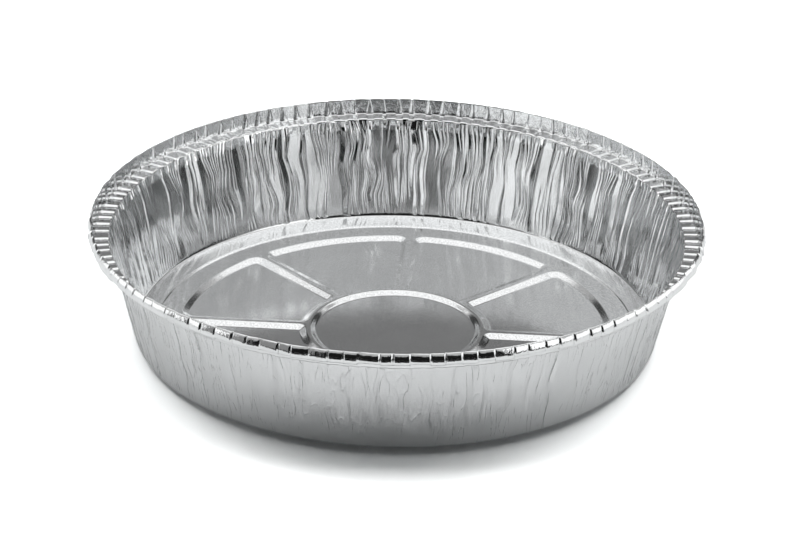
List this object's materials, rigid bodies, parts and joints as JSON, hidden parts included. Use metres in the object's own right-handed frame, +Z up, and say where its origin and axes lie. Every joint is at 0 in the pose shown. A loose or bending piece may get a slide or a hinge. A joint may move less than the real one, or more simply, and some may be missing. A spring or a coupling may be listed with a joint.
{
  "type": "foil pie tin",
  "caption": "Round shallow baking tin pressed from thin aluminium foil, with a pleated leaning wall, a ledge, a hemmed upright rim and sunken wedge panels in the floor.",
  "frame": {"origin": "on the axis, at the level that the tin stands on", "axes": "+Z up along the axis of the tin, out of its mouth; one spoke of the floor lies 4 degrees clockwise of +X"},
  "size_m": [0.2316, 0.2316, 0.0483],
  "materials": {
    "foil": "bright pressed foil, finely rolled, creased at the pleats"
  },
  "bodies": {
    "root": {"foil_tin": "foil"}
  },
  "joints": []
}
